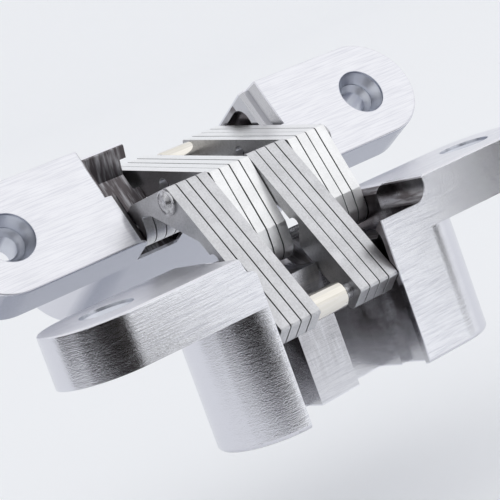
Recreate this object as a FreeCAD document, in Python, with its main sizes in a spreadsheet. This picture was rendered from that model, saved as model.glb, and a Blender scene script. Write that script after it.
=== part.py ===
"""Concealed scissor hinge: two cast leaves joined by four packs of stamped steel link plates.

Frame: origin half way between the lower leaf's screw holes, where they leave the back of its
face plate, +Z out of its face, +Y along the pins, +X from the knuckle side of the leaf to its
open side. Every piece is drawn with the lower leaf's face at Z 0 and then lifted by the plate's
thickness. Millimetres and degrees. The hinge is drawn opened part way.
"""
import FreeCAD
import Part
import math
import os
import Sketcher

from FreeCAD import Placement, Rotation, Vector

SIZES = [
    ("leaf_width", 19.0, "face plate and body, across"),
    ("leaf_length", 97.2, "face plate, end to end"),
    ("plate_thick", 8.3, "face plate"),
    ("body_depth", 28.0, "face to the bottom of the body"),
    ("body_length", 53.0, "body with its round ends"),
    ("edge_round", 0.4, "rounding of the face plate's edges"),
    ("foot_round", 0.8, "rounding of the body's bottom edge"),
    ("screw_spacing", 75.0, "between the two screw holes"),
    ("head_dia", 8.6, "countersink at the face"),
    ("head_lip", 0.5, "straight lip above the countersink"),
    ("seat_dia", 6.3, "step inside the countersink"),
    ("seat_depth", 2.3, "depth of the step"),
    ("screw_dia", 4.3, "clearance hole"),
    ("seat_wall", 0.25, "straight wall below that step"),
    ("cone_depth", 3.6, "depth where the cone meets the clearance hole"),
    ("link_thick", 1.86, "one stamped plate"),
    ("plate_gap", 0.18, "gap between two plates, in a pack and between packs"),
    ("pack_side", 0.14, "gap between a pack and the wall beside it"),
    ("pivot_inset", 6.25, "fixed pivot from the middle of the leaf"),
    ("pivot_depth", 2.45, "fixed pivot below the face"),
    ("slide_inset", 6.2, "sliding pivot from the middle of the leaf"),
    ("short_arm", 12.6, "fixed pivot to centre pin"),
    ("long_arm", 26.6, "centre pin to sliding pivot"),
    ("rest_swing", 79.3, "short arm above the face as drawn"),
    ("rest_opening", 115.8, "angle between the two faces as drawn"),
    ("elbow_radius", 2.2, "plate round the centre pin"),
    ("slide_radius", 2.4, "plate round the sliding pivot"),
    ("pivot_radius", 3.1, "plate round the fixed pivot"),
    ("heel_along", 10.3, "corner of the short arm's outer edge, from the centre pin along the arm"),
    ("heel_side", 3.6, "corner of the short arm's outer edge, from the arm's middle line"),
    ("heel_round", 0.3, "rounding of that corner"),
    ("toe_reach", 2.35, "squared end of the long arm, past the sliding pivot"),
    ("toe_lean", 84.0, "angle between the long arm and its end"),
    ("toe_outer", 0.5, "rounding of the long arm's outer end corner"),
    ("toe_inner", 1.0, "rounding of the long arm's inner end corner"),
    ("apex_round", 0.5, "corner of the elbow"),
    ("web_near", 2.1, "web edge at the short arm, back from the elbow"),
    ("web_high", 6.0, "web edge at the short arm, above the long arm"),
    ("throat_side", 3.75, "notch between web and pivot end, back from the elbow"),
    ("throat_high", 8.2, "notch between web and pivot end, above the long arm"),
    ("throat_round", 0.45, "rounding of that notch"),
    ("web_round", 2.5, "bend of the web edge towards the pivot end"),
    ("neck_round", 2.2, "bend of the web edge towards the long arm"),
    ("web_far", 5.2, "web edge at the long arm, along it"),
    ("web_low", 1.8, "web edge at the long arm, above its middle"),
    ("neck_from", 7.3, "start of the narrow part of the long arm"),
    ("neck_edge", 0.1, "inner edge of the narrow part, past the arm's middle"),
    ("notch_at", 12.55, "notch that lets the other leaf's pin pass"),
    ("notch_radius", 1.25, "radius of that notch"),
    ("notch_exit", 8.0, "how far below the arm's direction the notch's arc ends, degrees"),
    ("shoulder_round", 0.5, "rounding of the shoulder past the notch"),
    ("shoulder_at", 15.2, "where the long arm is full width again"),
    ("pin_radius", 1.1, "fixed pivot pins"),
    ("centre_radius", 1.3, "centre pin"),
    ("slide_pin_radius", 1.3, "sliding pins"),
    ("pin_fit", 0.03, "radial running fit of the pins"),
    ("pin_chamfer", 0.2, "chamfer of the pins' ends"),
    ("rivet_radius", 2.15, "domed head of the centre pin"),
    ("rivet_collar", 0.45, "straight part of the domed head"),
    ("rivet_step", 0.25, "ledge round the dome"),
    ("rivet_height", 1.1, "whole height of the domed head"),
    ("roller_radius", 2.15, "spacer roller on a sliding pin"),
    ("roller_length", 5.4, "spacer roller"),
    ("roller_chamfer", 0.35, "chamfer of the spacer roller"),
    ("back_wall", 3.0, "back wall of the channels, past the middle"),
    ("rib_face", 0.8, "face of the middle rib, short of the middle"),
    ("end_gap", 0.7, "end wall of the pocket, past the last plate"),
    ("ledge_end", 19.2, "end of the pocket's step at the face"),
    ("ledge_depth", 2.4, "step at the channel end"),
    ("ledge_slope", 0.7, "slope of that step's end"),
    ("ledge_round", 0.7, "rounding where the step meets the channel"),
    ("scoop_end", 18.7, "outer end of the scoop at the closed end"),
    ("scoop_lip", 0.5, "chamfer where the scoop's end meets the face"),
    ("scoop_depth", 4.0, "depth of the scoop"),
    ("scoop_round", 2.6, "rounding of the scoop's end"),
    ("scoop_reach", 0.0, "how far the scoop reaches past the middle"),
    ("rim_thick", 0.6, "outer rim beside the scoop"),
    ("slope_foot", 5.3, "foot of the slope inside the rim, from the middle"),
    ("arm_floor", 7.0, "floor under the short arms"),
    ("notch_low", 8.6, "back wall's top at the channel"),
    ("notch_high", 3.3, "back wall's top at the knuckle side"),
    ("groove_near", 2.2, "guide groove, edge nearer the middle"),
    ("groove_far", 8.2, "guide groove, outer edge"),
    ("groove_top", 4.5, "guide groove, below the face"),
    ("groove_depth", 1.3, "guide groove, into the wall"),
    ("pin_end", 0.3, "sliding pin's end, short of the groove's bottom"),
    ("ramp_round", 3.8, "rounded relief of the face beside the rivet heads"),
    ("pin_seat", 2.0, "fixed pin's seat in the casting"),
]

doc = FreeCAD.newDocument("ConcealedHinge")
sheet = doc.addObject("Spreadsheet::Sheet", "Sizes")
for row, (alias, value, note) in enumerate(SIZES, start=1):
    sheet.set("A%d" % row, alias)
    sheet.set("B%d" % row, str(value))
    sheet.set("C%d" % row, note)
    sheet.setAlias("B%d" % row, alias)
doc.recompute()


class Dim:
    """A size with its number and the sheet expression that gives the same number."""

    def __init__(self, number, text):
        self.number = number
        self.text = text

    def join(self, other, sign, number):
        text = other.text if isinstance(other, Dim) else "%g" % other
        return Dim(number, "(%s %s %s)" % (self.text, sign, text))

    def __add__(self, other):
        return self.join(other, "+", self.number + number_of(other))

    def __sub__(self, other):
        return self.join(other, "-", self.number - number_of(other))

    def __mul__(self, other):
        return self.join(other, "*", self.number * number_of(other))

    def __truediv__(self, other):
        return self.join(other, "/", self.number / number_of(other))

    def __neg__(self):
        return Dim(-self.number, "(0 - %s)" % self.text)


def number_of(value):
    return value.number if isinstance(value, Dim) else float(value)


def dim(alias):
    return Dim(float(sheet.get(alias)), "Sizes.%s" % alias)


ZERO = Dim(0.0, "0")
half_width = dim("leaf_width") / 2
link_thick = dim("link_thick")
plate_pitch = link_thick + dim("plate_gap")
PLATES_PER_PACK = 4
PACKS = 4
PIVOT_NEAR, SLIDE_FAR, PIVOT_FAR = 1, 2, 3
pitch = plate_pitch * PLATES_PER_PACK
pack = pitch - dim("plate_gap")
stack_half = (pitch * PACKS - dim("plate_gap")) / 2
CLEAR = 2.0
OVERLAP = 0.5
SKIN = 0.01
LEAST_SCREW_CUT = 100.0


def pack_start(group):
    """Y of the near side of a pack: groups 0 to 3 run along +Y."""
    return -stack_half + pitch * group


def middle_of_gap(group):
    """Y half way between a pack and the one before it."""
    return pack_start(group) - dim("plate_gap") / 2


def plane_of(body, role):
    for feature in body.Origin.OriginFeatures:
        if feature.Role == role:
            return feature
    raise ValueError(role)


def new_sketch(body, name, role, offset=None):
    """Sketch on an origin plane, moved along its normal by a bound distance."""
    sketch = body.newObject("Sketcher::SketchObject", name)
    sketch.AttachmentSupport = [(plane_of(body, role), "")]
    sketch.MapMode = "FlatFace"
    if offset is not None:
        sketch.AttachmentOffset = Placement(Vector(0, 0, offset.number), Rotation())
        sketch.setExpression("AttachmentOffset.Base.z", offset.text)
    return sketch


def bind(sketch, index, size):
    sketch.setExpression("Constraints[%d]" % index, size.text)


def pin_point(sketch, geometry, end, x, y):
    """Hold one point of a sketch at bound coordinates."""
    bind(sketch, sketch.addConstraint(
        Sketcher.Constraint("DistanceX", -1, 1, geometry, end, x.number)), x)
    bind(sketch, sketch.addConstraint(
        Sketcher.Constraint("DistanceY", -1, 1, geometry, end, y.number)), y)


def draw_polygon(sketch, points):
    """Closed polygon whose corners are bound to the sheet."""
    corners = [Vector(x.number, y.number, 0) for x, y in points]
    count = len(corners)
    lines = []
    for i in range(count):
        lines.append(sketch.addGeometry(Part.LineSegment(corners[i], corners[(i + 1) % count])))
    for i in range(count):
        sketch.addConstraint(Sketcher.Constraint("Coincident", lines[i], 2, lines[(i + 1) % count], 1))
    for line, (x, y) in zip(lines, points):
        pin_point(sketch, line, 1, x, y)


def draw_circle(sketch, x, y, radius):
    circle = Part.Circle(Vector(x.number, y.number, 0), Vector(0, 0, 1), radius.number)
    index = sketch.addGeometry(circle)
    pin_point(sketch, index, 3, x, y)
    bind(sketch, sketch.addConstraint(Sketcher.Constraint("Radius", index, radius.number)), radius)


def draw_stadium(sketch, length, radius):
    """Straight sides along the sketch's vertical axis with full round ends."""
    centre = length / 2 - radius
    r = radius.number
    c = centre.number
    right = sketch.addGeometry(Part.LineSegment(Vector(r, -c, 0), Vector(r, c, 0)))
    top = sketch.addGeometry(Part.Arc(Vector(r, c, 0), Vector(0, c + r, 0), Vector(-r, c, 0)))
    left = sketch.addGeometry(Part.LineSegment(Vector(-r, c, 0), Vector(-r, -c, 0)))
    foot = sketch.addGeometry(Part.Arc(Vector(-r, -c, 0), Vector(0, -c - r, 0), Vector(r, -c, 0)))
    for line, end, arc, arc_end in ((right, 2, top, 1), (left, 1, top, 2), (left, 2, foot, 1), (right, 1, foot, 2)):
        sketch.addConstraint(Sketcher.Constraint("Coincident", line, end, arc, arc_end))
    pin_point(sketch, right, 1, radius, -centre)
    pin_point(sketch, right, 2, radius, centre)
    pin_point(sketch, left, 1, -radius, centre)
    pin_point(sketch, left, 2, -radius, -centre)
    for arc, y in ((top, centre), (foot, -centre)):
        bind(sketch, sketch.addConstraint(Sketcher.Constraint("DistanceY", -1, 1, arc, 3, y.number)), y)


def arc_of(a, middle, b):
    """Anticlockwise arc through three points, and whether it runs from b back to a."""
    curve = Part.Circle(Vector(*a, 0), Vector(*middle, 0), Vector(*b, 0))
    centre = (curve.Center.x, curve.Center.y)
    turn = (middle[0] - a[0]) * (b[1] - middle[1]) - (middle[1] - a[1]) * (b[0] - middle[0])
    start, end = (a, b) if turn > 0 else (b, a)
    angles = [math.atan2(p[1] - centre[1], p[0] - centre[0]) for p in (start, end)]
    if angles[1] < angles[0]:
        angles[1] += 2 * math.pi
    circle = Part.Circle(Vector(centre[0], centre[1], 0), Vector(0, 0, 1), curve.Radius)
    return Part.ArcOfCircle(circle, angles[0], angles[1]), turn < 0


def draw_path(sketch, path):
    """Closed outline from worked-out points: ("line", a, b) and ("arc", a, middle, b)."""
    ends = []
    for piece in path:
        if piece[0] == "line":
            curve = Part.LineSegment(Vector(*piece[1], 0), Vector(*piece[2], 0))
            flipped = False
        else:
            curve, flipped = arc_of(*piece[1:])
        index = sketch.addGeometry(curve)
        sketch.addConstraint(Sketcher.Constraint("Block", index))
        ends.append((index, 2 if flipped else 1, 1 if flipped else 2))
    for before, after in zip(ends, ends[1:] + ends[:1]):
        sketch.addConstraint(Sketcher.Constraint("Coincident", before[0], before[2], after[0], after[1]))


def pad(body, name, sketch, length, backwards=False):
    feature = body.newObject("PartDesign::Pad", name)
    feature.Profile = sketch
    feature.Length = length.number
    feature.setExpression("Length", length.text)
    feature.Reversed = backwards
    doc.recompute()
    return feature


def pocket(body, name, sketch, length, backwards=False):
    """Pocket of a bound depth that must take some volume away."""
    before = body.Shape.Volume
    feature = body.newObject("PartDesign::Pocket", name)
    feature.Profile = sketch
    feature.Length = length.number
    feature.setExpression("Length", length.text)
    feature.Reversed = backwards
    doc.recompute()
    if body.Shape.Volume > before - SKIN:
        raise ValueError("pocket %s takes nothing away" % name)
    return feature


def slab(body, name, points, y_from, y_to):
    """Pocket of an XZ outline between two bound Y places."""
    sketch = new_sketch(body, name + "Sketch", "XZ_Plane", -y_from)
    draw_polygon(sketch, points)
    return pocket(body, name, sketch, y_to - y_from, backwards=False)


def edges_at_face(shape, level):
    """Names of the edges that lie in the plane Z = level."""
    names = []
    for number, edge in enumerate(shape.Edges, start=1):
        if max(abs(edge.BoundBox.ZMin - level), abs(edge.BoundBox.ZMax - level)) < 1e-6:
            names.append("Edge%d" % number)
    return names


def channel_end(side):
    """Y of the pocket's end wall on either side of the stack of plates."""
    return (stack_half + dim("end_gap")) * side


pivot_low = channel_end(-1) - dim("pin_seat")
pivot_high = stack_half + dim("pack_side") + dim("pin_seat")


def make_leaf(name):
    """Cast leaf: face plate and body, pocket open to +X, two packs turning on its pin."""
    body = doc.addObject("PartDesign::Body", name)
    body.Label = name
    doc.recompute()
    over = half_width + CLEAR
    above = ZERO + CLEAR
    plate_sketch = new_sketch(body, name + "PlateSketch", "XY_Plane")
    draw_stadium(plate_sketch, dim("leaf_length"), half_width)
    plate = pad(body, name + "Plate", plate_sketch, dim("plate_thick"), backwards=True)
    rounding = body.newObject("PartDesign::Fillet", name + "PlateEdge")
    rounding.Base = (plate, edges_at_face(plate.Shape, 0.0))
    rounding.Radius = dim("edge_round").number
    rounding.setExpression("Radius", dim("edge_round").text)
    doc.recompute()
    body_top = dim("edge_round") + OVERLAP
    block_sketch = new_sketch(body, name + "BlockSketch", "XY_Plane", -body_top)
    draw_stadium(block_sketch, dim("body_length"), half_width)
    block = pad(body, name + "Block", block_sketch, dim("body_depth") - body_top, backwards=True)
    foot = body.newObject("PartDesign::Fillet", name + "Foot")
    foot.Base = (block, edges_at_face(block.Shape, -dim("body_depth").number))
    foot.Radius = dim("foot_round").number
    foot.setExpression("Radius", dim("foot_round").text)
    doc.recompute()

    wall_low = channel_end(-1)
    wall_mid = middle_of_gap(PIVOT_FAR)
    rib_low = pack_start(PIVOT_NEAR)
    rib_high = rib_low + pack
    channel = new_sketch(body, name + "ChannelSketch", "XY_Plane", above)
    back = -dim("back_wall")
    draw_polygon(channel, [
        (over, wall_low), (over, wall_mid), (back, wall_mid), (back, rib_high),
        (dim("rib_face"), rib_high), (dim("rib_face"), rib_low), (back, rib_low), (back, wall_low),
    ])
    pocket(body, name + "Channel", channel, dim("body_depth") + CLEAR * 2)

    slope = [(back + SKIN, -dim("notch_low")), (-half_width, -dim("notch_high")), (-over, -dim("notch_high")),
             (-over, above), (back + SKIN, above)]
    near_end = middle_of_gap(PIVOT_NEAR)
    far_end = middle_of_gap(SLIDE_FAR)
    slab(body, name + "ArmsNear", slope, wall_low, near_end)
    slab(body, name + "ArmsFar", slope, far_end, wall_mid)

    floor = -dim("arm_floor")
    middle = [(over, above), (over, floor), (-over, floor), (-over, above)]
    slab(body, name + "PivotNear", middle, near_end, far_end)
    rim = half_width - dim("rim_thick")
    closed = [(rim, above), (rim, -dim("scoop_depth")), (dim("slope_foot"), floor), (-over, floor), (-over, above)]
    closed_end = stack_half + dim("pack_side")
    slab(body, name + "PivotFar", closed, wall_mid, closed_end)

    reach = dim("scoop_reach")
    ledge = new_sketch(body, name + "LedgeSketch", "YZ_Plane", -reach)
    deep = -dim("ledge_depth")
    draw_polygon(ledge, [
        (-dim("ledge_end"), above), (-dim("ledge_end"), ZERO), (-dim("ledge_end") + dim("ledge_slope"), deep),
        (wall_low - dim("ledge_round"), deep), (wall_low, deep - dim("ledge_round")),
        (wall_low + OVERLAP, deep - dim("ledge_round")), (wall_low + OVERLAP, above),
    ])
    pocket(body, name + "Ledge", ledge, over + reach, backwards=True)

    scoop = new_sketch(body, name + "ScoopSketch", "YZ_Plane", -reach)
    start = wall_mid.number - OVERLAP
    end = dim("scoop_end").number
    depth = dim("scoop_depth").number
    bend = dim("scoop_round").number
    lip = dim("scoop_lip").number
    half = math.sqrt(0.5)
    draw_path(scoop, [
        ("line", (start, CLEAR), (start, -depth)),
        ("line", (start, -depth), (end - bend, -depth)),
        ("arc", (end - bend, -depth), (end - bend + bend * half, -depth + bend * (1 - half)), (end, -depth + bend)),
        ("line", (end, -depth + bend), (end, -lip)),
        ("line", (end, -lip), (end + lip, 0.0)),
        ("line", (end + lip, 0.0), (end + lip, CLEAR)),
        ("line", (end + lip, CLEAR), (start, CLEAR)),
    ])
    pocket(body, name + "Scoop", scoop, over + reach, backwards=True)

    curve = dim("ramp_round").number
    end = dim("ledge_end").number
    foot = closed_end.number - OVERLAP
    rise = end - foot
    drop = curve - math.sqrt(curve ** 2 - rise ** 2)
    half_rise = rise / 2
    half_drop = curve - math.sqrt(curve ** 2 - half_rise ** 2)
    for label, side in (("Low", -1), ("High", 1)):
        ramp = new_sketch(body, name + "Ramp" + label + "Sketch", "YZ_Plane", -over)
        draw_path(ramp, [
            ("line", (foot * side, CLEAR), (end * side, CLEAR)),
            ("line", (end * side, CLEAR), (end * side, 0.0)),
            ("arc", (end * side, 0.0), ((end - half_rise) * side, -half_drop), (foot * side, -drop)),
            ("line", (foot * side, -drop), (foot * side, CLEAR)),
        ])
        pocket(body, name + "Ramp" + label, ramp, over - reach, backwards=True)

    seat = new_sketch(body, name + "PinSeatSketch", "XZ_Plane", -pivot_low)
    draw_circle(seat, -dim("pivot_inset"), -dim("pivot_depth"), dim("pin_radius") + dim("pin_fit"))
    pocket(body, name + "PinSeat", seat, pivot_high - pivot_low)

    near = dim("groove_near").number
    far = dim("groove_far").number
    top = -dim("groove_top").number
    low = -dim("body_depth").number - CLEAR
    arc_radius = (far - near) / 2
    slot = [
        ("line", (near, low), (near, top - arc_radius)),
        ("arc", (near, top - arc_radius), ((near + far) / 2, top), (far, top - arc_radius)),
        ("line", (far, top - arc_radius), (far, low)),
        ("line", (far, low), (near, low)),
    ]
    for label, y_from in (("Low", wall_low - dim("groove_depth")), ("High", wall_mid - SKIN)):
        groove = new_sketch(body, name + "Groove" + label + "Sketch", "XZ_Plane", -y_from)
        draw_path(groove, slot)
        pocket(body, name + "Groove" + label, groove, dim("groove_depth") + SKIN, backwards=False)

    hole = new_sketch(body, name + "ScrewSketch", "YZ_Plane")
    centre = dim("screw_spacing") / 2
    head = dim("head_dia") / 2
    seat = dim("seat_dia") / 2
    bore = dim("screw_dia") / 2
    draw_polygon(hole, [
        (centre, above), (centre + head, above), (centre + head, -dim("head_lip")),
        (centre + seat, -dim("seat_depth")), (centre + seat, -dim("seat_depth") - dim("seat_wall")),
        (centre + bore, -dim("cone_depth")), (centre + bore, -dim("plate_thick") - CLEAR),
        (centre, -dim("plate_thick") - CLEAR),
    ])
    axis = hole.addGeometry(Part.LineSegment(Vector(centre.number, -1, 0), Vector(centre.number, 1, 0)), True)
    pin_point(hole, axis, 1, centre, ZERO - 1)
    pin_point(hole, axis, 2, centre, ZERO + 1)
    before = body.Shape.Volume
    screw = body.newObject("PartDesign::Groove", name + "ScrewHole")
    screw.Profile = hole
    screw.ReferenceAxis = (hole, ["Axis0"])
    screw.Angle = 360
    doc.recompute()
    pair = body.newObject("PartDesign::Mirrored", name + "ScrewPair")
    pair.Originals = [screw]
    pair.MirrorPlane = (plane_of(body, "XZ_Plane"), [""])
    body.Tip = pair
    doc.recompute()
    if body.Shape.Volume > before - LEAST_SCREW_CUT:
        raise ValueError("screw holes take too little away")
    return body


def unit(v):
    size = math.hypot(v[0], v[1])
    return (v[0] / size, v[1] / size)


def outer_tangent(c1, r1, c2, r2, side):
    """Points where a line touches two circles on the same side, +1 left of c1 to c2."""
    d = (c2[0] - c1[0], c2[1] - c1[1])
    length = math.hypot(d[0], d[1])
    u = (d[0] / length, d[1] / length)
    n = (-u[1] * side, u[0] * side)
    lean = (r1 - r2) / length
    up = math.sqrt(1 - lean * lean)
    m = (n[0] * up + u[0] * lean, n[1] * up + u[1] * lean)
    return (c1[0] + m[0] * r1, c1[1] + m[1] * r1), (c2[0] + m[0] * r2, c2[1] + m[1] * r2)


def crossing(a, b, c, d):
    """Point where line a-b meets line c-d."""
    p = (b[0] - a[0], b[1] - a[1])
    q = (d[0] - c[0], d[1] - c[1])
    t = ((c[0] - a[0]) * q[1] - (c[1] - a[1]) * q[0]) / (p[0] * q[1] - p[1] * q[0])
    return (a[0] + p[0] * t, a[1] + p[1] * t)


def rounded(before, corner, after, radius):
    """Start, middle and end of the arc that rounds a corner."""
    u = unit((before[0] - corner[0], before[1] - corner[1]))
    v = unit((after[0] - corner[0], after[1] - corner[1]))
    turn = math.acos(max(-1.0, min(1.0, u[0] * v[0] + u[1] * v[1])))
    reach = radius / math.tan(turn / 2)
    w = unit((u[0] + v[0], u[1] + v[1]))
    near = radius / math.sin(turn / 2) - radius
    return ((corner[0] + u[0] * reach, corner[1] + u[1] * reach),
            (corner[0] + w[0] * near, corner[1] + w[1] * near),
            (corner[0] + v[0] * reach, corner[1] + v[1] * reach))


def on_circle(centre, radius, degrees):
    angle = math.radians(degrees)
    return (centre[0] + radius * math.cos(angle), centre[1] + radius * math.sin(angle))


def angle_of(centre, point):
    return math.degrees(math.atan2(point[1] - centre[1], point[0] - centre[0]))


def arc_through(centre, radius, start, end, turn):
    """Arc piece from start to end the given way round (+1 anticlockwise)."""
    a = angle_of(centre, start)
    b = angle_of(centre, end)
    while (b - a) * turn < 0:
        b += 360 * turn
    return ("arc", start, on_circle(centre, radius, (a + b) / 2), end)


def link_outline(bend):
    """Plate outline with the centre pin at the origin and the long arm along +u.

    The short arm leaves at the angle bend on the +w side, which is the hollow side.
    """
    n = number_of
    elbow = (0.0, 0.0)
    slide = (n(dim("long_arm")), 0.0)
    pivot = on_circle(elbow, n(dim("short_arm")), bend)
    r_elbow = n(dim("elbow_radius"))
    r_slide = n(dim("slide_radius"))
    r_pivot = n(dim("pivot_radius"))
    long_a, long_b = outer_tangent(elbow, r_elbow, slide, r_slide, -1)
    in_a, in_b = outer_tangent(elbow, r_elbow, slide, r_slide, 1)
    out_way = unit(pivot)
    heel = (out_way[0] * n(dim("heel_along")) - out_way[1] * n(dim("heel_side")),
            out_way[1] * n(dim("heel_along")) + out_way[0] * n(dim("heel_side")))
    short_a, short_b = outer_tangent(elbow, r_elbow, heel, 0.0, 1)
    apex = crossing(long_a, long_b, short_a, heel)
    apex_arc = rounded(heel, apex, long_b, n(dim("apex_round")))

    toe = (slide[0] + n(dim("toe_reach")), 0.0)
    toe_far = on_circle(toe, 1.0, n(dim("toe_lean")))
    toe_low = crossing(long_a, long_b, toe, toe_far)
    toe_high = crossing(in_a, in_b, toe, toe_far)
    toe_low_arc = rounded(long_a, toe_low, toe_high, n(dim("toe_outer")))
    toe_high_arc = rounded(toe_low, toe_high, in_a, n(dim("toe_inner")))

    shoulder_u = n(dim("shoulder_at"))
    shoulder = crossing(in_a, in_b, (shoulder_u, -1.0), (shoulder_u, 1.0))
    notch = (n(dim("notch_at")), n(dim("neck_edge")))
    notch_radius = n(dim("notch_radius"))
    notch_far = on_circle(notch, notch_radius, -n(dim("notch_exit")))
    neck_low = -n(dim("neck_edge"))
    dip = math.sqrt(notch_radius ** 2 - (neck_low - notch[1]) ** 2)
    notch_near = (notch[0] - dip, neck_low)
    neck = (n(dim("neck_from")), neck_low)
    web_end = (n(dim("web_far")), n(dim("web_low")))
    web_start = (-n(dim("web_near")), n(dim("web_high")))
    throat = (-n(dim("throat_side")), n(dim("throat_high")))
    neck_corner = crossing(notch_near, neck, web_end, web_start)
    neck_arc = rounded(notch_near, neck_corner, web_start, n(dim("neck_round")))
    web_arc = rounded(web_end, web_start, throat, n(dim("web_round")))
    lobe_start = outer_tangent(throat, 0.0, pivot, r_pivot, -1)[1]
    throat_arc = rounded(web_start, throat, lobe_start, n(dim("throat_round")))
    lobe_end = outer_tangent(heel, 0.0, pivot, r_pivot, 1)[1]
    heel_arc = rounded(lobe_end, heel, apex, n(dim("heel_round")))
    shoulder_arc = rounded(in_b, shoulder, notch_far, n(dim("shoulder_round")))
    return [
        ("line", apex_arc[2], toe_low_arc[0]),
        ("arc",) + toe_low_arc,
        ("line", toe_low_arc[2], toe_high_arc[0]),
        ("arc",) + toe_high_arc,
        ("line", toe_high_arc[2], shoulder_arc[0]),
        ("arc",) + shoulder_arc,
        ("line", shoulder_arc[2], notch_far),
        arc_through(notch, notch_radius, notch_far, notch_near, -1),
        ("line", notch_near, neck_arc[0]),
        ("arc",) + neck_arc,
        ("line", neck_arc[2], web_arc[0]),
        ("arc",) + web_arc,
        ("line", web_arc[2], throat_arc[0]),
        ("arc",) + throat_arc,
        ("line", throat_arc[2], lobe_start),
        arc_through(pivot, r_pivot, lobe_start, lobe_end, 1),
        ("line", lobe_end, heel_arc[0]),
        ("arc",) + heel_arc,
        ("line", heel_arc[2], apex_arc[0]),
        ("arc",) + apex_arc,
    ]


swing = math.radians(number_of(dim("rest_swing")))
opening = number_of(dim("rest_opening"))
lower_pivot = (-number_of(dim("pivot_inset")), -number_of(dim("pivot_depth")))
arm = number_of(dim("short_arm"))
elbow_at = (lower_pivot[0] - arm * math.cos(swing), lower_pivot[1] + arm * math.sin(swing))
across = number_of(dim("slide_inset")) - elbow_at[0]
lower_slide = (elbow_at[0] + across, elbow_at[1] - math.sqrt(number_of(dim("long_arm")) ** 2 - across ** 2))
mirror_angle = math.radians(opening / 2)
mirror_line = (math.cos(mirror_angle), math.sin(mirror_angle))


def mirrored(point):
    """Reflect an XZ point in the line through the centre pin that halves the opening."""
    x = point[0] - elbow_at[0]
    z = point[1] - elbow_at[1]
    along = x * mirror_line[0] + z * mirror_line[1]
    return (elbow_at[0] + 2 * along * mirror_line[0] - x, elbow_at[1] + 2 * along * mirror_line[1] - z)


upper_pivot = mirrored(lower_pivot)
upper_slide = mirrored(lower_slide)
long_way = unit((lower_slide[0] - elbow_at[0], lower_slide[1] - elbow_at[1]))
short_way = unit((upper_pivot[0] - elbow_at[0], upper_pivot[1] - elbow_at[1]))
bend_angle = math.degrees(math.acos(long_way[0] * short_way[0] + long_way[1] * short_way[1]))
hollow_sign = 1 if long_way[0] * short_way[1] - long_way[1] * short_way[0] > 0 else -1


def place(point):
    """Plate point (u, w) to XZ for the plates that slide in the lower leaf."""
    u, w = point
    w *= hollow_sign
    return (elbow_at[0] + u * long_way[0] - w * long_way[1], elbow_at[1] + u * long_way[1] + w * long_way[0])


def plate_paths():
    """Outline and holes of a plate in each of the two sets."""
    outline = [(piece[0],) + tuple(place(p) for p in piece[1:]) for piece in link_outline(bend_angle)]
    other = [(piece[0],) + tuple(mirrored(p) for p in piece[1:]) for piece in outline]
    return {0: (outline, upper_pivot, lower_slide), 1: (other, lower_pivot, upper_slide)}


paths = plate_paths()
fit = dim("pin_fit")


def make_link(number):
    """Plates 1 to 16 along +Y; packs 0 and 2 slide in the lower leaf, 1 and 3 in the upper."""
    group = (number - 1) // PLATES_PER_PACK
    name = "link_plate_%02d" % number
    outline, pivot, slide = paths[group % 2]
    body = doc.addObject("PartDesign::Body", name)
    body.Label = name
    doc.recompute()
    y = pack_start(group) + plate_pitch * ((number - 1) % PLATES_PER_PACK)
    sketch = new_sketch(body, name + "Sketch", "XZ_Plane", -y)
    draw_path(sketch, outline)
    for point, radius in ((elbow_at, dim("centre_radius")), (pivot, dim("pin_radius")),
                          (slide, dim("slide_pin_radius"))):
        x = Dim(point[0], "%.9f" % point[0])
        z = Dim(point[1], "%.9f" % point[1])
        draw_circle(sketch, x, z, radius + fit)
    pad(body, name + "Pad", sketch, link_thick, backwards=True)
    return body


def make_turned(name, profile, point, draw=draw_polygon):
    """Piece turned about a line along Y through an XZ point; the profile is (along Y, radius)."""
    body = doc.addObject("PartDesign::Body", name)
    body.Label = name
    doc.recompute()
    sketch = new_sketch(body, name + "Sketch", "YZ_Plane")
    draw(sketch, profile)
    axis = sketch.addGeometry(Part.LineSegment(Vector(-1, 0, 0), Vector(1, 0, 0)), True)
    pin_point(sketch, axis, 1, ZERO - 1, ZERO)
    pin_point(sketch, axis, 2, ZERO + 1, ZERO)
    feature = body.newObject("PartDesign::Revolution", name + "Turn")
    feature.Profile = sketch
    feature.ReferenceAxis = (sketch, ["Axis0"])
    feature.Angle = 360
    doc.recompute()
    body.Placement = Placement(Vector(point[0], 0, point[1]), Rotation())
    return body


def rod_profile(y_from, y_to, radius):
    chamfer = dim("pin_chamfer")
    return [(y_from, ZERO), (y_from, radius - chamfer), (y_from + chamfer, radius), (y_to - chamfer, radius),
            (y_to, radius - chamfer), (y_to, ZERO)]


def rivet_profile():
    """Centre pin with a round dome on a short collar at each end."""
    radius = number_of(dim("centre_radius"))
    head = number_of(dim("rivet_radius"))
    foot = number_of(stack_half)
    collar = foot + number_of(dim("rivet_collar"))
    tip = foot + number_of(dim("rivet_height"))
    dome = head - number_of(dim("rivet_step"))
    rise = tip - collar
    ball = (dome ** 2 + rise ** 2) / (2 * rise)
    half_turn = math.asin(dome / ball) / 2
    crown = (tip - ball * (1 - math.cos(half_turn)), ball * math.sin(half_turn))
    half = [("arc", (tip, 0.0), crown, (collar, dome)), ("line", (collar, dome), (collar, head)),
            ("line", (collar, head), (foot, head)), ("line", (foot, head), (foot, radius))]
    other = [(piece[0],) + tuple((-y, r) for y, r in piece[:0:-1]) for piece in half[::-1]]
    return half + [("line", (foot, radius), (-foot, radius))] + other + [("line", (-tip, 0.0), (tip, 0.0))]


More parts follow.
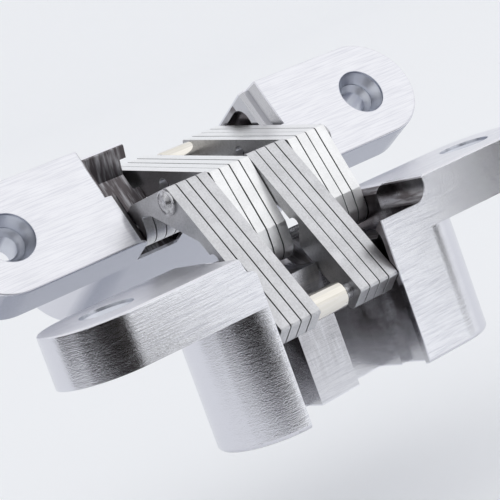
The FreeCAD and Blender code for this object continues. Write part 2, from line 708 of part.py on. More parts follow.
nodes = []
lower_leaf = make_leaf("lower_leaf")
upper_leaf = make_leaf("upper_leaf")
turn_axis = Vector(mirror_line[0], 0, mirror_line[1])
turn_centre = Vector(elbow_at[0], 0, elbow_at[1])
upper_leaf.Placement = Placement(Vector(0, 0, 0), Rotation(turn_axis, 180), turn_centre)
nodes += [lower_leaf, upper_leaf]
for plate_number in range(1, PACKS * PLATES_PER_PACK + 1):
    nodes.append(make_link(plate_number))

pivot_profile = rod_profile(pivot_low, pivot_high, dim("pin_radius"))
nodes.append(make_turned("lower_pivot_pin", pivot_profile, lower_pivot))
nodes.append(make_turned("upper_pivot_pin", [(-y, r) for y, r in pivot_profile], upper_pivot))
nodes.append(make_turned("centre_pin", rivet_profile(), elbow_at, draw_path))

slide_low = channel_end(-1) - dim("groove_depth") + dim("pin_end")
slide_high = middle_of_gap(PIVOT_FAR) + dim("groove_depth") - dim("pin_end")
slide_profile = rod_profile(slide_low, slide_high, dim("slide_pin_radius"))
slide_profile_up = [(-y, r) for y, r in slide_profile]
nodes.append(make_turned("lower_slide_pin", slide_profile, lower_slide))
nodes.append(make_turned("upper_slide_pin", slide_profile_up, upper_slide))


def roller_profile():
    """Spacer roller with a bore, against the first pack."""
    low = pack_start(PIVOT_NEAR) - dim("plate_gap")
    high = low + dim("roller_length")
    bore = dim("slide_pin_radius") + fit
    outer = dim("roller_radius")
    cut = dim("roller_chamfer")
    return [(low, bore), (low, outer), (high - cut, outer), (high, outer - cut), (high, bore)]


roller = roller_profile()
nodes.append(make_turned("lower_roller", roller, lower_slide))
nodes.append(make_turned("upper_roller", [(-y, r) for y, r in roller], upper_slide))

lift = Placement(Vector(0, 0, number_of(dim("plate_thick"))), Rotation())
for node in nodes:
    node.Placement = lift.multiply(node.Placement)
doc.recompute()
for item in doc.Objects:
    if "Invalid" in item.State or "Error" in item.State:
        raise ValueError("%s failed: %s" % (item.Name, item.State))
for node in nodes:
    if node.Shape.isNull() or not node.Shape.isValid() or len(node.Shape.Solids) != 1:
        raise ValueError("bad shape in %s" % node.Label)

os.makedirs("parts", exist_ok=True)
for node in nodes:
    node.Shape.exportStep(os.path.join("parts", node.Label + ".step"))
print("centre pin", elbow_at, "lower slide", lower_slide)
print("upper pivot", upper_pivot, "upper slide", upper_slide, "bend", bend_angle)
print("pieces", len(nodes), "volume", round(sum(node.Shape.Volume for node in nodes), 1))
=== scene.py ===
"""Looks and stage for a concealed scissor hinge with two cast leaves and stamped link plates."""

import math

import bpy
import numpy as np
from mathutils import Matrix, Vector


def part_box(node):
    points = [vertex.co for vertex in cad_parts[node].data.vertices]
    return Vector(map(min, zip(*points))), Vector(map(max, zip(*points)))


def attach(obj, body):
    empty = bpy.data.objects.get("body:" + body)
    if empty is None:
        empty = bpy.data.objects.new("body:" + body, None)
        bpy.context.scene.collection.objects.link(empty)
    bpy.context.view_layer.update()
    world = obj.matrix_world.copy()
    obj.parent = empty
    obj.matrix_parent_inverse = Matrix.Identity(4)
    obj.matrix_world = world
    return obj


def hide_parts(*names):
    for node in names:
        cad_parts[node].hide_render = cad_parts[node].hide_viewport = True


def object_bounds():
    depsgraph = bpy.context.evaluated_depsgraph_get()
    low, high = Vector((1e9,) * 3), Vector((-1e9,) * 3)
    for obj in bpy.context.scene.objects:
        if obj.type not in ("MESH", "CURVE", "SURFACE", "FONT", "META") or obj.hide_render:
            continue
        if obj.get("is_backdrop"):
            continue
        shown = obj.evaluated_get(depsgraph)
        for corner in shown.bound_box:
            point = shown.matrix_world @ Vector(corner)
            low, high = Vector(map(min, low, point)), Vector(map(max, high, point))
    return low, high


bl_info = {
    "name": "Concealed Scissor Hinge",
    "version": (1, 0, 0),
    "blender": (4, 5, 0),
    "location": "View3D > Sidebar > Hinge",
    "description": "Finishes the castings, link plates and pins of a concealed hinge and sets its stage",
    "category": "Object",
}

MM = 0.001
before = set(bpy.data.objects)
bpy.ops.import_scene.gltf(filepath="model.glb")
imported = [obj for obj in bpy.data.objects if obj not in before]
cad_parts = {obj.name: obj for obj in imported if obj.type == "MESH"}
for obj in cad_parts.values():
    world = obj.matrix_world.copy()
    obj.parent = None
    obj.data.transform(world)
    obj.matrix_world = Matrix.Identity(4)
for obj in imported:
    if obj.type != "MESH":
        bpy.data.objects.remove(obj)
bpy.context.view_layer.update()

PINS = ("lower_pivot_pin", "upper_pivot_pin", "centre_pin", "lower_slide_pin", "upper_slide_pin")
SLIDE_PLATES = tuple("link_plate_%02d" % n for n in (1, 2, 3, 4, 9, 10, 11, 12))
PIVOT_PLATES = tuple("link_plate_%02d" % n for n in (5, 6, 7, 8, 13, 14, 15, 16))
# Each roller and the body that carries it.
ROLLERS = {"lower_roller": "slide_links", "upper_roller": "pivot_links"}

# Turned half round about this line through the centre pin, the upper leaf lies on the lower one.
CENTRE_PIN = Vector((-8.589, 0.0, 18.231)) * MM
HALVING_LINE = Vector((0.531399, 0.0, 0.847122)).normalized()

# Places on a leaf, in the lower leaf's axes. The lip is just outside the countersink's 4.3 mm. The pocket's numbers
# are its middle and half length along X, Y and Z, then the heights between which its painted shade deepens, and the
# corner past which its closed end stays light, as painted light.
SCREW_PLACE = 37.5 * MM
SCREW_LIP = 4.36 * MM
POCKET = ((0.1 * MM, 9.1 * MM), (0.0, 19.3 * MM), (-5.75 * MM, 13.75 * MM))
POCKET_FLOOR, POCKET_SHADE = -19.4 * MM, -10.0 * MM
CLOSED_END, CLOSED_END_LOW = -13.0 * MM, 2.0 * MM

# The camera fitted to the photograph, and its focal length in the photograph's pixels.
CAMERA_RIGHT = Vector((0.5544217, 0.7601033, -0.3389093))
CAMERA_UP = Vector((0.0881237, 0.3513198, 0.9320990))
CAMERA_PLACE = Vector((220.1718, -155.8739, 41.3445)) * MM
HALF_WIDTH, FOCAL_LENGTH = 250, 1727.41

# Dark things that the metal mirrors: first and last end in plan, bottom, top (millimetres), colour.
CARDS = {
    "dark_card_low": ((120, -200), (120, 34), -43, -15, "#1d1816"),
    "dark_card_front": ((120, -200), (120, -4), -15, 52, "#1d1816"),
    "dark_card_left": ((55, -265), (120, -200), -43, 52, "#1d1816"),
    "dark_card_side": ((-110, -240), (55, -265), -27, 52, "#1d1816"),
    "dark_card_right": ((118, 122), (92, 154), -43, 40, "#120e0d"),
}


def linear(hex_colour, share=1.0):
    """sRGB hex to linear RGBA, darkened to a share of its light."""
    values = [int(hex_colour[i:i + 2], 16) / 255 for i in (1, 3, 5)]
    return tuple(share * (v / 12.92 if v <= 0.04045 else ((v + 0.055) / 1.055) ** 2.4) for v in values) + (1.0,)


def fill(tree, node, inputs):
    """Fills a node's inputs, named by name or place or listed in its order: sockets are linked, values are set."""
    named = inputs if isinstance(inputs, dict) else dict(enumerate(inputs))
    for key, value in named.items():
        if isinstance(value, bpy.types.NodeSocket):
            tree.links.new(value, node.inputs[key])
        else:
            node.inputs[key].default_value = value


def add_node(tree, kind, inputs=(), out=0, stops=(), **settings):
    """Adds a node with its settings, inputs and a colour ramp's (place, colour) stops; gives the output asked for."""
    node = tree.nodes.new(kind)
    for name, value in settings.items():
        setattr(node, name, value)
    if stops:
        for element, (place, colour) in zip(node.color_ramp.elements, stops):
            element.position = place
            element.color = colour
    fill(tree, node, inputs)
    return node.outputs[out] if node.outputs else None


def new_material(name):
    """Material with a Principled shader; gives it with its tree and shader."""
    material = bpy.data.materials.new(name)
    material.use_nodes = True
    return material, material.node_tree, material.node_tree.nodes["Principled BSDF"]


def grain(tree, spot, size, detail, roughness):
    """Uneven marks from 0 to 1, as long along X, Y and Z as size says, in metres."""
    scaled = add_node(tree, "ShaderNodeMapping", {"Vector": spot, "Scale": [1 / length for length in size]})
    return add_node(tree, "ShaderNodeTexNoise",
                    {"Vector": scaled, "Scale": 1.0, "Detail": detail, "Roughness": roughness})


def new_piece(name, points, faces):
    """New piece in the scene from arrays of its points and faces."""
    mesh = bpy.data.meshes.new(name)
    mesh.from_pydata(points.tolist(), [], faces.tolist())
    piece = bpy.data.objects.new(name, mesh)
    bpy.context.scene.collection.objects.link(piece)
    return piece


class ZincSettings(bpy.types.PropertyGroup):
    """Sizes and colours of the satin zinc castings."""
    bright: bpy.props.StringProperty(name="Bright", description="Colour of the brushed face", default="#eeeef2")
    shade: bpy.props.StringProperty(name="Shade", description="Colour in the face's brush lines", default="#e0e0e6")
    side_bright: bpy.props.StringProperty(name="Side bright", description="Colour of the brushed sides",
                                          default="#fbfbfe")
    side_shade: bpy.props.StringProperty(name="Side shade", description="Colour in the sides' brush lines",
                                         default="#e4e4ea")
    ends: bpy.props.StringProperty(name="Round ends", description="Colour of the round ends, tumbled, not brushed",
                                   default="#dfdfe5")
    # The knuckle side's colour is its unbrushed grit tone, darkened further as painted shade for that side.
    knuckle: bpy.props.StringProperty(name="Knuckle side", description="Colour of the unbrushed knuckle side",
                                      default="#a9acb9")
    bored: bpy.props.StringProperty(name="Screw holes", description="Colour of the turned screw holes",
                                    default="#d3d6de")
    # Painted light and painted shade in the pocket: the pocket colour is mostly shade painted into the recess over a
    # duller cast skin, and the low colour is light painted where it falls from below.
    pocket_painted_light: bpy.props.StringProperty(name="Pocket, low", description="Colour low in the pocket",
                                           default="#c2c2c6")
    pocket: bpy.props.StringProperty(name="Pocket", description="Colour inside the pocket, left as cast",
                                     default="#5c5759")
    streak: bpy.props.FloatProperty(name="Streak", description="Width of one brush line as drawn",
                                    default=0.15 * MM, unit="LENGTH")
    streak_length: bpy.props.FloatProperty(name="Streak length", description="Length of one brush line",
                                           default=6.0 * MM, unit="LENGTH")
    core_mark: bpy.props.FloatProperty(name="Core mark", description="Width of the marks of the mould's core",
                                       default=0.8 * MM, unit="LENGTH")
    grit: bpy.props.FloatProperty(name="Grit", description="Size of the casting's grit as drawn",
                                  default=0.27 * MM, unit="LENGTH")
    relief: bpy.props.FloatProperty(name="Relief", description="Depth of the brush lines and of the grit",
                                    default=0.02 * MM, unit="LENGTH")
    edge: bpy.props.FloatProperty(name="Edge", description="Rounding of the casting's edges",
                                  default=0.16 * MM, unit="LENGTH")


class SteelSettings(bpy.types.PropertyGroup):
    """Sizes and colours of the stamped link plates."""
    slide_colour: bpy.props.StringProperty(name="Slide packs", description="Plates that slide in the lower leaf",
                                           default="#d9d9db")
    pivot_colour: bpy.props.StringProperty(name="Pivot packs", description="Plates that pivot on the lower leaf",
                                           default="#fafafa")
    # The rolled faces' darker colour is partly their duller finish and partly painted shade, where the plates face
    # each other in a pack.
    dull_face_and_shade: bpy.props.StringProperty(name="Plate faces", description="Rolled faces, duller than the stamped edges",
                                   default="#b6b6b8")
    grain: bpy.props.FloatProperty(name="Grain", description="Size of the plating's grain as drawn",
                                   default=0.3 * MM, unit="LENGTH")
    cloud: bpy.props.FloatProperty(name="Cloud", description="Size of the soft clouds in the plating",
                                   default=3.2 * MM, unit="LENGTH")
    relief: bpy.props.FloatProperty(name="Relief", description="Depth of the grain",
                                    default=0.012 * MM, unit="LENGTH")
    edge: bpy.props.FloatProperty(name="Edge", description="Rounding of a plate's edges",
                                  default=0.13 * MM, unit="LENGTH")


class PinSettings(bpy.types.PropertyGroup):
    """Sizes and colours of the steel pins."""
    bright: bpy.props.StringProperty(name="Bright", description="Colour of the bare steel", default="#cdcdcf")
    shade: bpy.props.StringProperty(name="Shade", description="Colour where the steel is duller", default="#98979a")
    cloud: bpy.props.FloatProperty(name="Cloud", description="Size of the duller spots",
                                   default=0.9 * MM, unit="LENGTH")
    relief: bpy.props.FloatProperty(name="Relief", description="Depth of the duller spots",
                                    default=0.02 * MM, unit="LENGTH")
    edge: bpy.props.FloatProperty(name="Edge", description="Rounding of the pins' ends",
                                  default=0.08 * MM, unit="LENGTH")


class RollerSettings(bpy.types.PropertyGroup):
    """Sizes and colours of the spacer rollers."""
    length: bpy.props.FloatProperty(name="Length", description="Roller, a plate gap short of each pack",
                                    default=7.98 * MM, unit="LENGTH")
    bore: bpy.props.FloatProperty(name="Bore", description="Radius of the roller's hole, on the sliding pin",
                                  default=1.36 * MM, unit="LENGTH")
    chamfer: bpy.props.FloatProperty(name="Chamfer", description="Chamfer of the roller's ends",
                                     default=0.35 * MM, unit="LENGTH")
    bright: bpy.props.StringProperty(name="Bright", description="Colour of the nickel", default="#f3efe8")
    shade: bpy.props.StringProperty(name="Shade", description="Colour in the drawing lines", default="#e9e4d9")
    line: bpy.props.FloatProperty(name="Line", description="Width of a drawing line as drawn here",
                                  default=0.6 * MM, unit="LENGTH")
    line_length: bpy.props.FloatProperty(name="Line length", description="Length of a drawing line",
                                         default=6.0 * MM, unit="LENGTH")
    edge: bpy.props.FloatProperty(name="Edge", description="Rounding of the roller's chamfers",
                                  default=0.05 * MM, unit="LENGTH")


class StageSettings(bpy.types.PropertyGroup):
    """Floor, light and backdrop."""
    floor_drop: bpy.props.FloatProperty(name="Floor drop", description="Floor below the lowest point of the hinge",
                                        default=24.0 * MM, unit="LENGTH")
    pale: bpy.props.StringProperty(name="Floor", description="Colour of the floor and backdrop", default="#f5f6f8")
    room: bpy.props.StringProperty(name="Room", description="Colour of the light from all sides", default="#f7f8fa")
    lamp_size: bpy.props.FloatProperty(name="Lamp size", description="Side of the square soft lamp",
                                       default=0.6, unit="LENGTH")
    lamp_power: bpy.props.FloatProperty(name="Lamp power", description="Power of the soft lamp",
                                        default=0.15, unit="POWER")


def smooth_group():
    """Geometry nodes that shade faces smooth and keep edges over 40 degrees sharp."""
    group = bpy.data.node_groups.get("smooth_by_turn")
    if group is not None:
        return group
    group = bpy.data.node_groups.new("smooth_by_turn", "GeometryNodeTree")
    for way in ("INPUT", "OUTPUT"):
        group.interface.new_socket("Geometry", in_out=way, socket_type="NodeSocketGeometry")
    start = add_node(group, "NodeGroupInput")
    faces = add_node(group, "GeometryNodeSetShadeSmooth", {"Geometry": start}, domain="FACE")
    angle = add_node(group, "GeometryNodeInputMeshEdgeAngle")
    sharp = add_node(group, "FunctionNodeCompare", (angle, math.radians(40)), operation="GREATER_THAN")
    edges = add_node(group, "GeometryNodeSetShadeSmooth",
                     {"Geometry": faces, "Selection": sharp, "Shade Smooth": False}, domain="EDGE")
    add_node(group, "NodeGroupOutput", {"Geometry": edges})
    return group


def finish_edges(node, width):
    """Welds, rounds the sharp edges and smooths a piece with modifiers that keep its mesh."""
    node.modifiers.new("join_corners", "WELD").merge_threshold = 1e-6
    flat = node.modifiers.new("join_flats", "DECIMATE")
    flat.decimate_type = "DISSOLVE"
    flat.angle_limit = math.radians(0.5)
    edge = node.modifiers.new("round_edges", "BEVEL")
    edge.width = width
    edge.segments = 2
    edge.limit_method = "ANGLE"
    edge.angle_limit = math.radians(28)
    edge.use_clamp_overlap = True
    smooth = node.modifiers.new("smooth_curves", "NODES")
    smooth.node_group = smooth_group()
    weighted = node.modifiers.new("true_flats", "WEIGHTED_NORMAL")
    weighted.keep_sharp = True


def dress(node_name, material, width):
    """Gives a CAD node its material and its edges."""
    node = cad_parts[node_name]
    node.data.materials.clear()
    node.data.materials.append(material)
    finish_edges(node, width)


def leaf_axes(tree, turned):
    """Place and facing on a leaf, in the lower leaf's axes: both are one casting, so marks, holes and pocket lie
    alike on both. Gives the place, then X, Y and Z of the place and of the facing."""
    turn, shift = (0.0, 0.0, 0.0), (0.0, 0.0, 0.0)
    if turned:
        line = HALVING_LINE
        half_round = Matrix(((2 * line.x ** 2 - 1, 0, 2 * line.x * line.z), (0, -1, 0),
                             (2 * line.x * line.z, 0, 2 * line.z ** 2 - 1)))
        turn, shift = half_round.to_euler(), CENTRE_PIN - half_round @ CENTRE_PIN
    piece = add_node(tree, "ShaderNodeTexCoord").node.outputs
    spot = add_node(tree, "ShaderNodeMapping", {"Vector": piece["Object"], "Rotation": turn, "Location": shift})
    facing = add_node(tree, "ShaderNodeMapping", {"Vector": piece["Normal"], "Rotation": turn}, vector_type="VECTOR")
    at, way = (add_node(tree, "ShaderNodeSeparateXYZ", (source,)).node.outputs for source in (spot, facing))
    return spot, at, way


def screw_hole(tree, at):
    """1 inside the two screw holes and their countersinks, else 0: nearer to a hole's axis than its lip."""
    beyond = add_node(tree, "ShaderNodeMath", (at["Y"],), operation="ABSOLUTE")
    beyond = add_node(tree, "ShaderNodeMath", (beyond, SCREW_PLACE), operation="SUBTRACT")
    squares = [add_node(tree, "ShaderNodeMath", (length, 2.0), operation="POWER") for length in (at["X"], beyond)]
    off = add_node(tree, "ShaderNodeMath", squares, operation="ADD")
    off = add_node(tree, "ShaderNodeMath", (off,), operation="SQRT")
    return add_node(tree, "ShaderNodeMath", (off, SCREW_LIP), operation="LESS_THAN")


def pocket_shade_share(tree, at, way):
    """How much painted shade a spot gets: 1 inside the pocket's box, less where it faces the open side and light
    falls, 0 outside.
    """
    share = add_node(tree, "ShaderNodeMapRange", (way["X"], 0.6, 0.9, 1.0, 0.45))
    for axis, (middle, half) in zip("XYZ", POCKET):
        inside = add_node(tree, "ShaderNodeMath", (at[axis], middle, half), operation="COMPARE")
        share = add_node(tree, "ShaderNodeMath", (share, inside), operation="MULTIPLY")
    return share


def pocket_painted_shade(tree, sizes, spot, at):
    """Painted shade in the pocket: darker the nearer to the face, with marks along Z; painted light low down and at
    the closed end.
    """
    marks = grain(tree, spot, (sizes.streak_length, sizes.core_mark, sizes.streak_length), 3.0, 0.6)
    dark = add_node(tree, "ShaderNodeMapRange", (marks, 0.35, 0.6, 0.4, 1.1))
    height = add_node(tree, "ShaderNodeMapRange", (at["Z"], POCKET_FLOOR, POCKET_SHADE, 0.0, 1.0))
    end = add_node(tree, "ShaderNodeMath", (at["Y"], CLOSED_END), operation="LESS_THAN")
    high = add_node(tree, "ShaderNodeMath", (at["Z"], CLOSED_END_LOW), operation="GREATER_THAN")
    closed_end = add_node(tree, "ShaderNodeMath", (end, high), operation="MULTIPLY")
    elsewhere = add_node(tree, "ShaderNodeMath", (1.0, closed_end), operation="SUBTRACT")
    for share in (height, elsewhere):
        dark = add_node(tree, "ShaderNodeMath", (dark, share), operation="MULTIPLY")
    return add_node(tree, "ShaderNodeValToRGB", (dark,),
                    stops=((0.0, linear(sizes.pocket_painted_light)), (1.0, linear(sizes.pocket))))


def zinc(label, sizes, turned):
    """Satin plated zinc die casting: brushed flats and sides, plain round ends, turned holes, a knuckle side and a
    pocket darkened with painted shade.
    """
    # Zinc alloy, die cast, belt brushed along the leaf and satin plated. The eye sees a pale, faintly blue metal
    # with short lines that stretch its blurred reflections, and fine grit where the belt doesn't reach.
    material, tree, shader = new_material(label)
    spot, at, way = leaf_axes(tree, turned)
    level, steep = (add_node(tree, "ShaderNodeMath", (way[axis],), operation="ABSOLUTE") for axis in "ZX")
    flat = add_node(tree, "ShaderNodeMapRange", (level, 0.5, 0.8, 0.0, 1.0))
    upright = add_node(tree, "ShaderNodeMapRange", (steep, 0.93, 0.995, 0.0, 1.0))
    knuckle = add_node(tree, "ShaderNodeMapRange", (way["X"], -0.9, -0.75, 1.0, 0.0))
    hole = screw_hole(tree, at)

    # Real brush lines are about 0.05 mm wide and the grit about 0.1 mm across. Both are too fine to show in the
    # render, so they are drawn about three times as coarse.
    face_lines = grain(tree, spot, (sizes.streak, sizes.streak_length, sizes.streak_length), 3.0, 0.6)
    side_lines = grain(tree, spot, (sizes.streak_length / 1.5, sizes.streak_length / 1.2, sizes.streak), 3.0, 0.6)
    grit = grain(tree, spot, (sizes.grit,) * 3, 3.0, 0.65)
    face = add_node(tree, "ShaderNodeValToRGB", (face_lines,),
                    stops=((0.36, linear(sizes.shade)), (0.56, linear(sizes.bright))))
    side = add_node(tree, "ShaderNodeValToRGB", (side_lines,),
                    stops=((0.36, linear(sizes.side_shade)), (0.54, linear(sizes.side_bright))))
    # Grit tone of the knuckle side: partly its own unbrushed tone, partly painted shade.
    cast = add_node(tree, "ShaderNodeValToRGB", (grit,),
                    stops=((0.3, linear(sizes.knuckle, 0.86)), (0.6, linear(sizes.knuckle))))

    colour = linear(sizes.ends)
    # The knuckle layer is partly painted shade; the pocket layer is painted shade, with painted light low in the
    # pocket.
    layers = ((upright, side), (flat, face), (hole, linear(sizes.bored)), (knuckle, cast),
              (pocket_shade_share(tree, at, way), pocket_painted_shade(tree, sizes, spot, at)))
    for share, layer in layers:
        # By place, because a Mix node has its factor, A and B once for each kind of data.
        colour = add_node(tree, "ShaderNodeMix", {0: share, 6: colour, 7: layer}, out=2, data_type="RGBA")

    rough = add_node(tree, "ShaderNodeMapRange", (side_lines, 0.3, 0.7, 0.24, 0.15))
    for duller in (flat, hole):
        rough = add_node(tree, "ShaderNodeMath", (duller, 0.14, rough), operation="MULTIPLY_ADD")

    lines = add_node(tree, "ShaderNodeMix", {0: flat, 2: side_lines, 3: face_lines}, data_type="FLOAT")
    belt_reach = add_node(tree, "ShaderNodeMath", (flat, upright), operation="MAXIMUM")
    brushing = add_node(tree, "ShaderNodeMapRange", (belt_reach, 0.0, 1.0, 0.5, 1.0))
    gritty = add_node(tree, "ShaderNodeMapRange", (flat, 0.0, 1.0, 1.0, 0.3))
    unturned = add_node(tree, "ShaderNodeMath", (1.0, hole), operation="SUBTRACT")
    relief = {}
    for height, share in ((lines, brushing), (grit, gritty)):
        for part in (share, unturned):
            height = add_node(tree, "ShaderNodeMath", (height, part), operation="MULTIPLY")
        relief = {"Normal": add_node(tree, "ShaderNodeBump",
                                     {"Height": height, "Distance": sizes.relief, "Strength": 1.0, **relief})}
    fill(tree, shader, {"Base Color": colour, "Metallic": 1.0, "Roughness": rough, **relief})
    return material


class HINGE_OT_leaves(bpy.types.Operator):
    """Satin plated zinc castings, belt brushed along their length."""
    bl_idname = "hinge.leaves"
    bl_label = "Finish the leaves"

    def execute(self, context):
        sizes = context.scene.hinge_zinc
        dress("lower_leaf", zinc("satin_zinc_casting_lower", sizes, False), sizes.edge)
        dress("upper_leaf", zinc("satin_zinc_casting_upper", sizes, True), sizes.edge)
        return {"FINISHED"}


def plated_steel(label, sizes, colour, shade):
    """Stamped steel plate: bright stamped edges, duller rolled faces darkened with painted shade. Shade is the share
    of light in its clouds.
    """
    # Mild steel sheet, stamped and satin plated. The eye sees an even soft grey with faint clouds, and no
    # mirrored shapes. The plating's grain is a few hundredths of a millimetre, so it is drawn coarser.
    material, tree, shader = new_material(label)
    piece = add_node(tree, "ShaderNodeTexCoord").node.outputs
    fine = grain(tree, piece["Object"], (sizes.grain,) * 3, 4.0, 0.55)
    cloud = grain(tree, piece["Object"], (sizes.cloud,) * 3, 2.0, 0.55)
    tone = add_node(tree, "ShaderNodeMath", (cloud, 0.5, fine), operation="MULTIPLY_ADD")
    stamped = add_node(tree, "ShaderNodeValToRGB", (tone,),
                       stops=((0.6, linear(colour, shade)), (0.85, linear(colour))))
    # Rolled faces: duller, and darker by painted shade between the plates.
    rolled = add_node(tree, "ShaderNodeValToRGB", (tone,),
                      stops=((0.55, linear(sizes.dull_face_and_shade, 0.8)), (0.85, linear(sizes.dull_face_and_shade))))
    way = add_node(tree, "ShaderNodeSeparateXYZ", (piece["Normal"],), out="Y")
    sideways = add_node(tree, "ShaderNodeMath", (way,), operation="ABSOLUTE")
    broad = add_node(tree, "ShaderNodeMapRange", (sideways, 0.85, 0.97, 0.0, 1.0))
    fill(tree, shader, {
        "Base Color": add_node(tree, "ShaderNodeMix", {0: broad, 6: stamped, 7: rolled}, out=2, data_type="RGBA"),
        "Metallic": 1.0,
        "Roughness": add_node(tree, "ShaderNodeMapRange", (cloud, 0.3, 0.7, 0.42, 0.32)),
        "Normal": add_node(tree, "ShaderNodeBump", {"Height": fine, "Distance": sizes.relief, "Strength": 0.6})})
    return material


class HINGE_OT_links(bpy.types.Operator):
    """Stamped and satin plated steel plates in four packs."""
    bl_idname = "hinge.links"
    bl_label = "Finish the link plates"

    def execute(self, context):
        sizes = context.scene.hinge_steel
        slide = plated_steel("satin_steel_slide_packs", sizes, sizes.slide_colour, 0.86)
        pivot = plated_steel("satin_steel_pivot_packs", sizes, sizes.pivot_colour, 0.94)
        for material, names in ((slide, SLIDE_PLATES), (pivot, PIVOT_PLATES)):
            for name in names:
                dress(name, material, sizes.edge)
        return {"FINISHED"}


class HINGE_OT_pins(bpy.types.Operator):
    """Drawn steel pins, the centre one headed at both ends."""
    bl_idname = "hinge.pins"
    bl_label = "Finish the pins"

    def execute(self, context):
        sizes = context.scene.hinge_pins
        # Plain steel, drawn to size and hammered at the heads: mid grey, a low sheen, small duller spots.
        material, tree, shader = new_material("drawn_steel")
        spot = add_node(tree, "ShaderNodeTexCoord", out="Object")
        cloud = grain(tree, spot, (sizes.cloud,) * 3, 4.0, 0.55)
        fill(tree, shader, {
            "Base Color": add_node(tree, "ShaderNodeValToRGB", (cloud,),
                                   stops=((0.35, linear(sizes.shade)), (0.62, linear(sizes.bright)))),
            "Metallic": 1.0,
            "Roughness": add_node(tree, "ShaderNodeMapRange", (cloud, 0.3, 0.7, 0.32, 0.18)),
            "Normal": add_node(tree, "ShaderNodeBump",
                               {"Height": cloud, "Distance": sizes.relief, "Strength": 0.5})})
        for name in PINS:
            dress(name, material, sizes.edge)
        return {"FINISHED"}


def tube(name, middle, radius, bore, length, chamfer):
    """Tube along Y with softly broken chamfers: a closed outline of (y, radius) carried round the circle, so that
    x = radius * sin(angle), z = radius * cos(angle)."""
    half = length / 2
    outline = np.array([(-half, bore), (-half, radius - chamfer), (-half + 0.3 * chamfer, radius - 0.3 * chamfer),
                        (-half + chamfer, radius), (half - chamfer, radius),
                        (half - 0.3 * chamfer, radius - 0.3 * chamfer), (half, radius - chamfer), (half, bore)])
    turns, count = 96, len(outline)
    angle = np.arange(turns)[:, None] * 2 * np.pi / turns
    along, out = outline.T
    points = np.stack([middle[0] + out * np.sin(angle), middle[1] + np.broadcast_to(along, (turns, count)),
                       middle[2] + out * np.cos(angle)], axis=-1).reshape(-1, 3)
    rows, steps = np.meshgrid(np.arange(turns), np.arange(count), indexing="ij")
    next_row, next_step = (rows + 1) % turns, (steps + 1) % count
    faces = np.stack([rows * count + steps, rows * count + next_step,
                      next_row * count + next_step, next_row * count + steps], axis=-1).reshape(-1, 4)
    return new_piece(name, points, faces)


class HINGE_OT_rollers(bpy.types.Operator):
    """Polished nickel plated spacer rollers, as long as the gap between two packs."""
    bl_idname = "hinge.rollers"
    bl_label = "Finish the rollers"

    def execute(self, context):
        sizes = context.scene.hinge_rollers
        # Drawn tube, polished and nickel plated: warm and nearly white, with clear reflections drawn out along it
        # by polishing lines. Those are far finer than can show, so they are drawn as broad soft bands.
        material, tree, shader = new_material("polished_nickel")
        spot = add_node(tree, "ShaderNodeTexCoord", out="Object")
        lines = grain(tree, spot, (sizes.line, sizes.line_length, sizes.line), 2.0, 0.6)
        fill(tree, shader, {
            "Base Color": add_node(tree, "ShaderNodeValToRGB", (lines,),
                                   stops=((0.3, linear(sizes.shade)), (0.7, linear(sizes.bright)))),
            "Metallic": 1.0,
            "Roughness": add_node(tree, "ShaderNodeMapRange", (lines, 0.3, 0.7, 0.1, 0.05))})
        for name, body in ROLLERS.items():
            low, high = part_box(name)
            middle = [(a + b) / 2 for a, b in zip(low, high)]
            piece = tube(name + "_long", middle, (high[0] - low[0]) / 2, sizes.bore, sizes.length, sizes.chamfer)
            piece.data.materials.append(material)
            finish_edges(piece, sizes.edge)
            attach(piece, body)
            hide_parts(name)
        return {"FINISHED"}


def soft_lamp(name, place, target, size, power):
    """Square soft light aimed at a point; places in metres."""
    data = bpy.data.lights.new(name, "AREA")
    data.shape = "SQUARE"
    data.size = size
    data.energy = power
    lamp = bpy.data.objects.new(name, data)
    lamp.location = place
    lamp.rotation_euler = (target - place).to_track_quat("-Z", "Y").to_euler()
    bpy.context.scene.collection.objects.link(lamp)


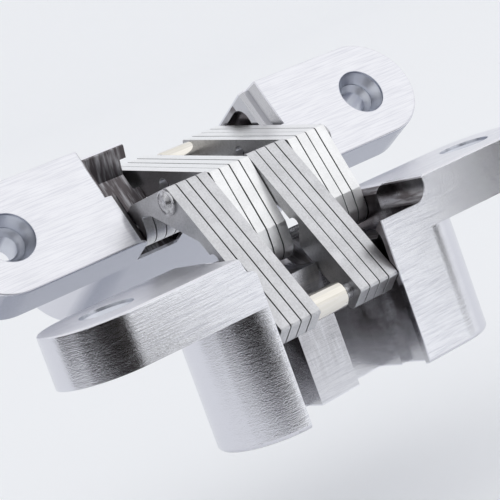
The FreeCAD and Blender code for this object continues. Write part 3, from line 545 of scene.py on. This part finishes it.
def upright_card(name, first, last, bottom, top, colour):
    """Card that only the metal's reflections show, standing on the line from first to last in plan; millimetres."""
    corners = [(*first, bottom), (*last, bottom), (*last, top), (*first, top)]
    card = new_piece(name, np.array(corners) * MM, np.array([(0, 1, 2, 3)]))
    # Felt: dark and quite dull, so it mirrors as a plain dark shape.
    material, tree, shader = new_material(name + "_felt")
    fill(tree, shader, {"Base Color": linear(colour), "Roughness": 1.0, "Specular IOR Level": 0.0})
    card.data.materials.append(material)
    card.visible_camera = False
    card.visible_diffuse = False
    card.visible_shadow = False
    card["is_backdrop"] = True


def sweep(low, pale):
    """Floor that bends up into a backdrop: its outline is flat as far as reach, then a quarter circle of radius
    bend, x = -reach - bend * sin(angle), z = low + bend * (1 - cos(angle)), then a wall."""
    reach, bend, wall, half_width, steps = 3.0, 1.2, 3.0, 6.0, 24
    angle = np.linspace(0.0, np.pi / 2, steps + 1)
    x = np.concatenate([[reach], -reach - bend * np.sin(angle), [-reach - bend]])
    z = low + np.concatenate([[0.0], bend * (1 - np.cos(angle)), [bend + wall]])
    points = np.stack([np.repeat(x, 2), np.tile([-half_width, half_width], len(x)), np.repeat(z, 2)], axis=-1)
    faces = 2 * np.arange(len(x) - 1)[:, None] + np.array([0, 1, 3, 2])
    floor = new_piece("sweep", points, faces)
    floor.data.polygons.foreach_set("use_smooth", [True] * len(floor.data.polygons))
    # Matt paper: an even pale ground without gloss.
    material, tree, shader = new_material("pale_paper")
    fill(tree, shader, {"Base Color": linear(pale), "Roughness": 0.9, "Specular IOR Level": 0.1})
    floor.data.materials.append(material)
    floor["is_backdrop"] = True


def photo_camera():
    """Camera that sees the hinge as the photograph does."""
    data = bpy.data.cameras.new("photo_camera")
    data.sensor_fit = "HORIZONTAL"
    data.angle = 2 * math.atan(HALF_WIDTH / FOCAL_LENGTH)
    data.clip_start = 0.01
    data.clip_end = 50.0
    camera = bpy.data.objects.new("photo_camera", data)
    axes = Matrix((CAMERA_RIGHT, CAMERA_UP, CAMERA_RIGHT.cross(CAMERA_UP))).transposed()
    camera.matrix_world = Matrix.Translation(CAMERA_PLACE) @ axes.to_4x4()
    bpy.context.scene.collection.objects.link(camera)
    return camera


class HINGE_OT_stage(bpy.types.Operator):
    """Pale sweep, soft light and the camera."""
    bl_idname = "hinge.stage"
    bl_label = "Set the stage"

    def execute(self, context):
        settings = context.scene.hinge_stage
        sweep(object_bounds()[0][2] - settings.floor_drop, settings.pale)
        world = bpy.data.worlds.new("soft_room")
        world.use_nodes = True
        fill(world.node_tree, world.node_tree.nodes["Background"], {"Color": linear(settings.room), "Strength": 1.0})
        context.scene.world = world
        centre = Vector((-10.0, 0.0, 8.0)) * MM
        soft_lamp("key_right_back", centre + Vector((0.55, 0.5, 0.55)), centre,
                  settings.lamp_size, settings.lamp_power)
        for name, shape in CARDS.items():
            upright_card(name, *shape)
        context.scene.camera = photo_camera()
        context.scene.view_settings.view_transform = "Standard"
        return {"FINISHED"}


SETTINGS = {"hinge_zinc": ZincSettings, "hinge_steel": SteelSettings, "hinge_pins": PinSettings,
            "hinge_rollers": RollerSettings, "hinge_stage": StageSettings}
OPERATORS = (HINGE_OT_leaves, HINGE_OT_links, HINGE_OT_pins, HINGE_OT_rollers, HINGE_OT_stage)


class HINGE_PT_panel(bpy.types.Panel):
    """Lists the hinge's sizes, colours and steps."""
    bl_idname = "HINGE_PT_panel"
    bl_label = "Concealed hinge"
    bl_space_type = "VIEW_3D"
    bl_region_type = "UI"
    bl_category = "Hinge"

    def draw(self, context):
        for place, group in SETTINGS.items():
            box = self.layout.box()
            for name in group.__annotations__:
                box.prop(getattr(context.scene, place), name)
        for operator in OPERATORS:
            self.layout.operator(operator.bl_idname)


def register():
    for item in (*SETTINGS.values(), *OPERATORS, HINGE_PT_panel):
        bpy.utils.register_class(item)
    for place, group in SETTINGS.items():
        setattr(bpy.types.Scene, place, bpy.props.PointerProperty(type=group))


def unregister():
    for place in SETTINGS:
        delattr(bpy.types.Scene, place)
    for item in reversed((*SETTINGS.values(), *OPERATORS, HINGE_PT_panel)):
        bpy.utils.unregister_class(item)


def main():
    """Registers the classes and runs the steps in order."""
    register()
    bpy.ops.hinge.leaves()
    bpy.ops.hinge.links()
    bpy.ops.hinge.pins()
    bpy.ops.hinge.rollers()
    bpy.ops.hinge.stage()


if __name__ == "__main__":
    main()
